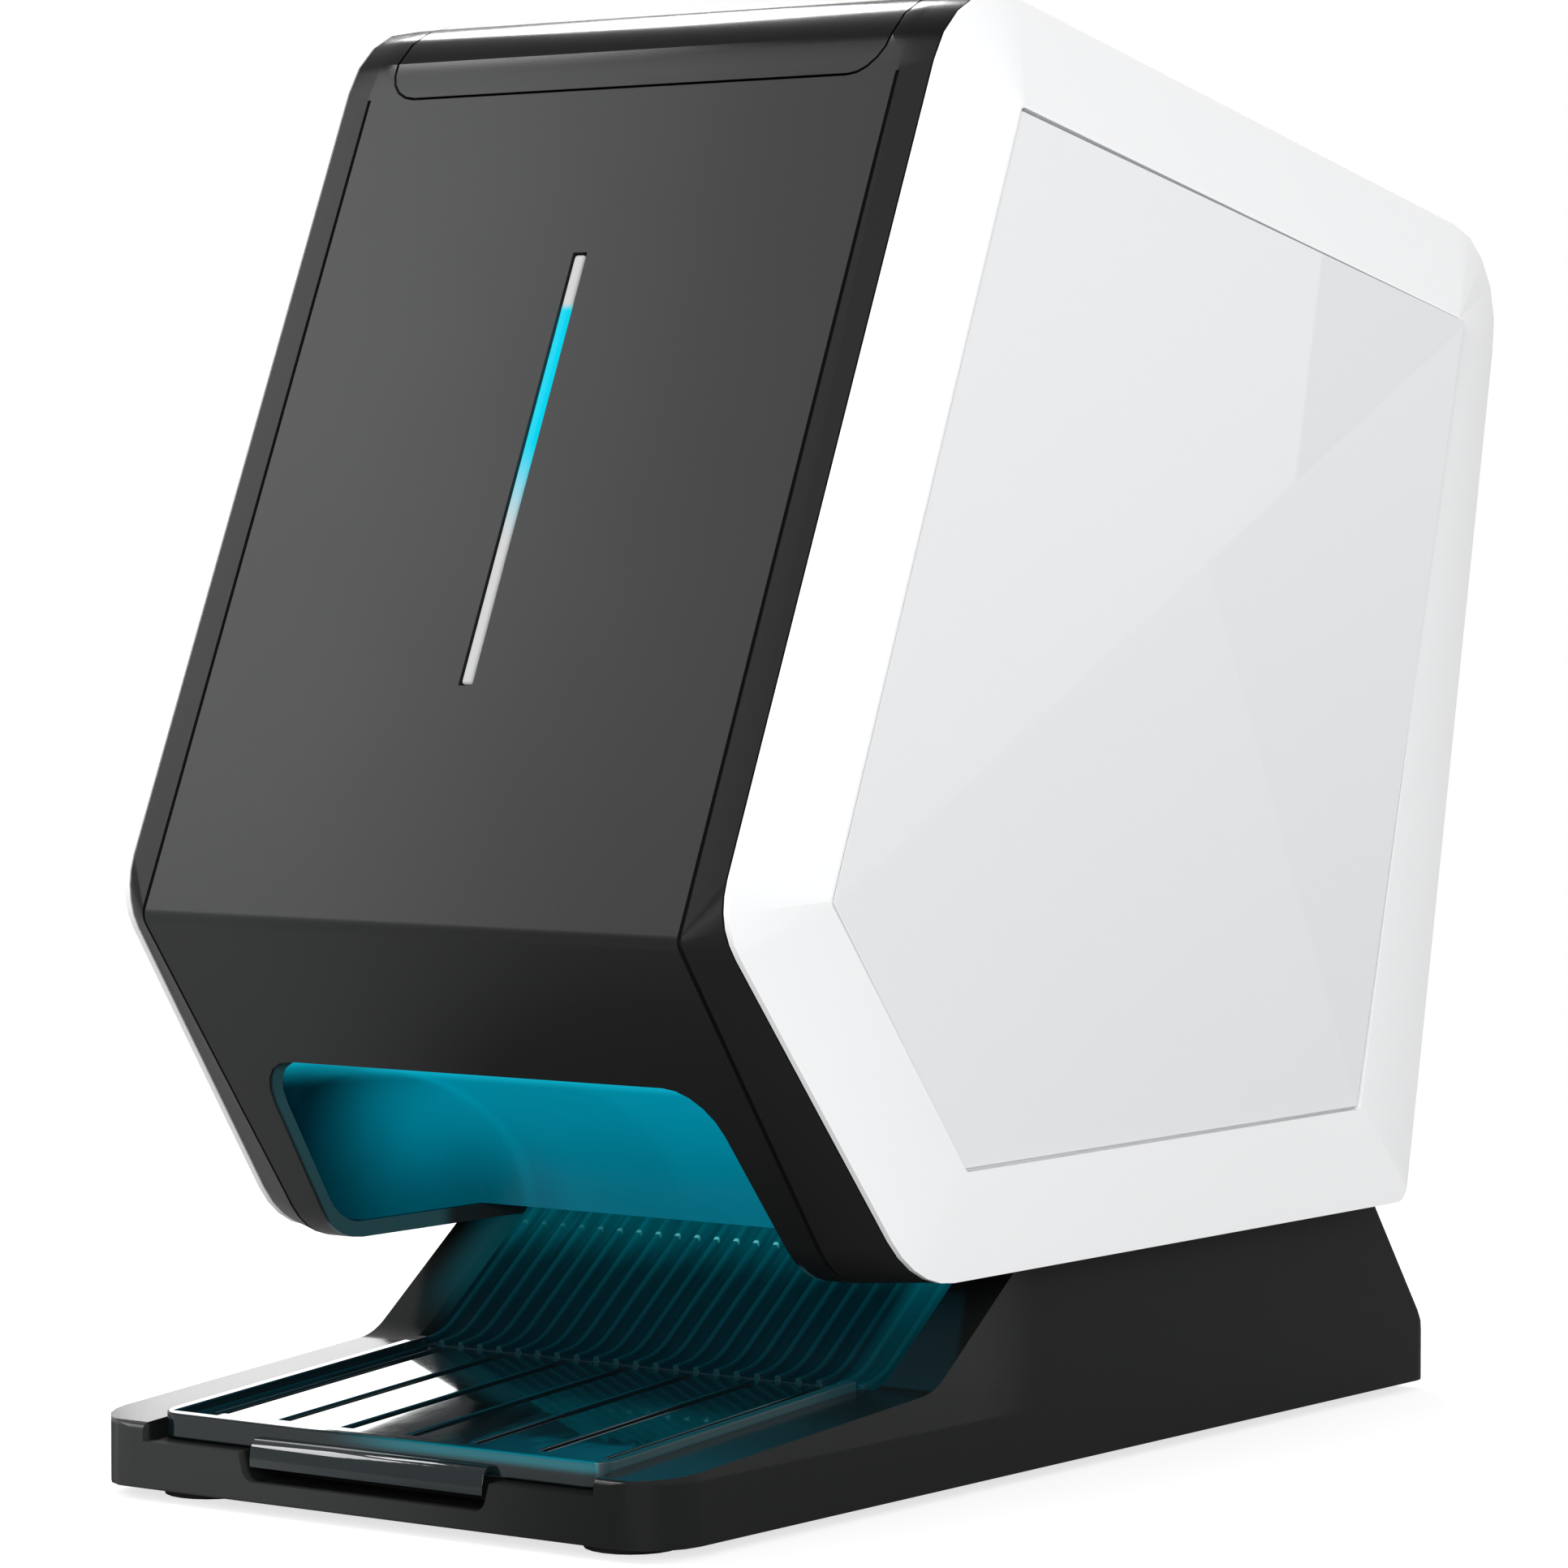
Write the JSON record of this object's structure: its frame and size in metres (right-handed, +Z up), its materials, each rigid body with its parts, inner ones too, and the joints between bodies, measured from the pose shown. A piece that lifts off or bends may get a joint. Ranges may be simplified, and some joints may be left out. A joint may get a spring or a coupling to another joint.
{
  "type": "phosphor plate scanner",
  "caption": "Desktop dental imaging-plate scanner: tilted five-sided head with faceted white sides on a black base, hinged slot lid, lit exit bay and sliding tray.",
  "frame": {"origin": "middle of the footprint, on the surface the feet stand on", "axes": "+Z up, front towards -Y with the tray, +X to the right of a user who faces the front"},
  "size_m": [0.133, 0.243, 0.2383],
  "materials": {
    "charcoal_body": "satin charcoal moulding",
    "base_black": "fine-grained near-black moulding",
    "white_shell": "smooth satin white moulding",
    "panel_grey": "satin pale grey faceted panel",
    "gloss_black": "polished black moulding",
    "teal_plastic": "dark moulding washed in teal light",
    "inner_plastic": "plain dark moulding",
    "circuit_board": "green board",
    "rubber": "matt black rubber",
    "roller_rubber": "ground roller rubber",
    "steel": "brushed",
    "aluminium": "plain sheet",
    "brass": "turned",
    "acrylic": "clear polished",
    "mirror": "polished facets",
    "diffuser": "translucent silver-white strip, lit from behind"
  },
  "bodies": {
    "scanner_body": {"front_cover": "charcoal_body", "rear_cover": "charcoal_body", "lid_hinge_pin": "steel", "base_housing": "base_black", "base_bottom_plate": "base_black", "exit_ramp": "teal_plastic", "exit_hood": "teal_plastic", "exit_glow_board": "circuit_board", "slot_guide": "inner_plastic", "light_bar": "diffuser", "light_bar_board": "circuit_board", "side_shell_right": "white_shell", "side_shell_left": "white_shell", "side_panel_right": "panel_grey", "side_panel_left": "panel_grey", "pinch_spring_right": "steel", "pinch_spring_left": "steel", "rubber_foot_front_left": "rubber", "rubber_foot_rear_left": "rubber", "rubber_foot_front_right": "rubber", "rubber_foot_rear_right": "rubber", "drive_belt": "rubber", "drive_motor": "steel", "chassis_plate_right": "aluminium", "chassis_plate_left": "aluminium", "chassis_floor": "aluminium", "chassis_bar_top": "steel", "chassis_bar_rear": "steel", "plate_guide_front": "inner_plastic", "plate_guide_back": "inner_plastic", "optics_base": "aluminium", "polygon_motor": "inner_plastic", "scan_lens": "acrylic", "laser_module": "brass", "light_guide": "acrylic", "photomultiplier": "inner_plastic", "detector_bracket": "aluminium", "erase_lamp_board": "circuit_board", "main_board": "circuit_board", "connector_panel": "inner_plastic", "connector_board": "circuit_board", "power_inlet": "inner_plastic", "network_socket": "steel", "usb_socket": "steel"},
    "lid": {"top_lid": "charcoal_body"},
    "tray": {"collection_tray": "gloss_black"},
    "button": {"power_button": "inner_plastic"},
    "polygon": {"polygon_mirror": "mirror"},
    "motor_shaft": {"motor_pulley": "aluminium"},
    "upper_drive": {"upper_drive_roller": "roller_rubber", "upper_pulley": "inner_plastic"},
    "infeed_drive": {"infeed_drive_roller": "roller_rubber", "infeed_pulley": "inner_plastic"},
    "lower_drive": {"lower_drive_roller": "roller_rubber", "lower_pulley": "inner_plastic"},
    "infeed_pinch": {"infeed_pinch_roller": "roller_rubber"},
    "upper_pinch": {"upper_pinch_roller": "roller_rubber"},
    "lower_pinch": {"lower_pinch_roller": "roller_rubber"}
  },
  "joints": [
    {"name": "lid_hinge", "type": "hinge", "parent": "scanner_body", "child": "lid", "pos_m": [0, 0.01311, 0.22564], "axis": [-1, 0, 0], "range_deg": [0, 75]},
    {"name": "tray_slide", "type": "slide", "parent": "scanner_body", "child": "tray", "axis": [0, -0.9971, -0.0755], "range_m": [0, 0.045]},
    {"name": "button_press", "type": "slide", "parent": "scanner_body", "child": "button", "axis": [0, -0.9705, 0.2413], "range_m": [0, 0.0015], "stiffness_N_per_m": 400, "springref_m": -0.001},
    {"name": "polygon_spin", "type": "hinge", "parent": "scanner_body", "child": "polygon", "pos_m": [0, 0.0519, 0.13], "axis": [0, 0, 1], "continuous": true},
    {"name": "upper_drive_spin", "type": "hinge", "parent": "scanner_body", "child": "upper_drive", "pos_m": [0, -0.0128, 0.144], "axis": [1, 0, 0], "continuous": true},
    {"name": "infeed_drive_spin", "type": "hinge", "parent": "scanner_body", "child": "infeed_drive", "pos_m": [0, -0.0128, 0.178], "axis": [1, 0, 0], "continuous": true},
    {"name": "lower_drive_spin", "type": "hinge", "parent": "scanner_body", "child": "lower_drive", "pos_m": [0, -0.0128, 0.116], "axis": [1, 0, 0], "continuous": true},
    {"name": "infeed_pinch_spin", "type": "hinge", "parent": "scanner_body", "child": "infeed_pinch", "pos_m": [0, -0.02459, 0.178], "axis": [1, 0, 0], "continuous": true},
    {"name": "upper_pinch_spin", "type": "hinge", "parent": "scanner_body", "child": "upper_pinch", "pos_m": [0, -0.02459, 0.144], "axis": [1, 0, 0], "continuous": true},
    {"name": "lower_pinch_spin", "type": "hinge", "parent": "scanner_body", "child": "lower_pinch", "pos_m": [0, -0.02459, 0.116], "axis": [1, 0, 0], "continuous": true},
    {"name": "motor_spin", "type": "hinge", "parent": "scanner_body", "child": "motor_shaft", "pos_m": [0, 0.0165, 0.096], "axis": [1, 0, 0], "continuous": true}
  ],
  "couplings": [
    {"joint": "infeed_drive_spin", "follows": "upper_drive_spin", "ratio": 1},
    {"joint": "lower_drive_spin", "follows": "upper_drive_spin", "ratio": 1},
    {"joint": "motor_spin", "follows": "upper_drive_spin", "ratio": 1.4},
    {"joint": "infeed_pinch_spin", "follows": "upper_drive_spin", "ratio": -1.2},
    {"joint": "upper_pinch_spin", "follows": "upper_drive_spin", "ratio": -1.2},
    {"joint": "lower_pinch_spin", "follows": "upper_drive_spin", "ratio": -1.2}
  ]
}
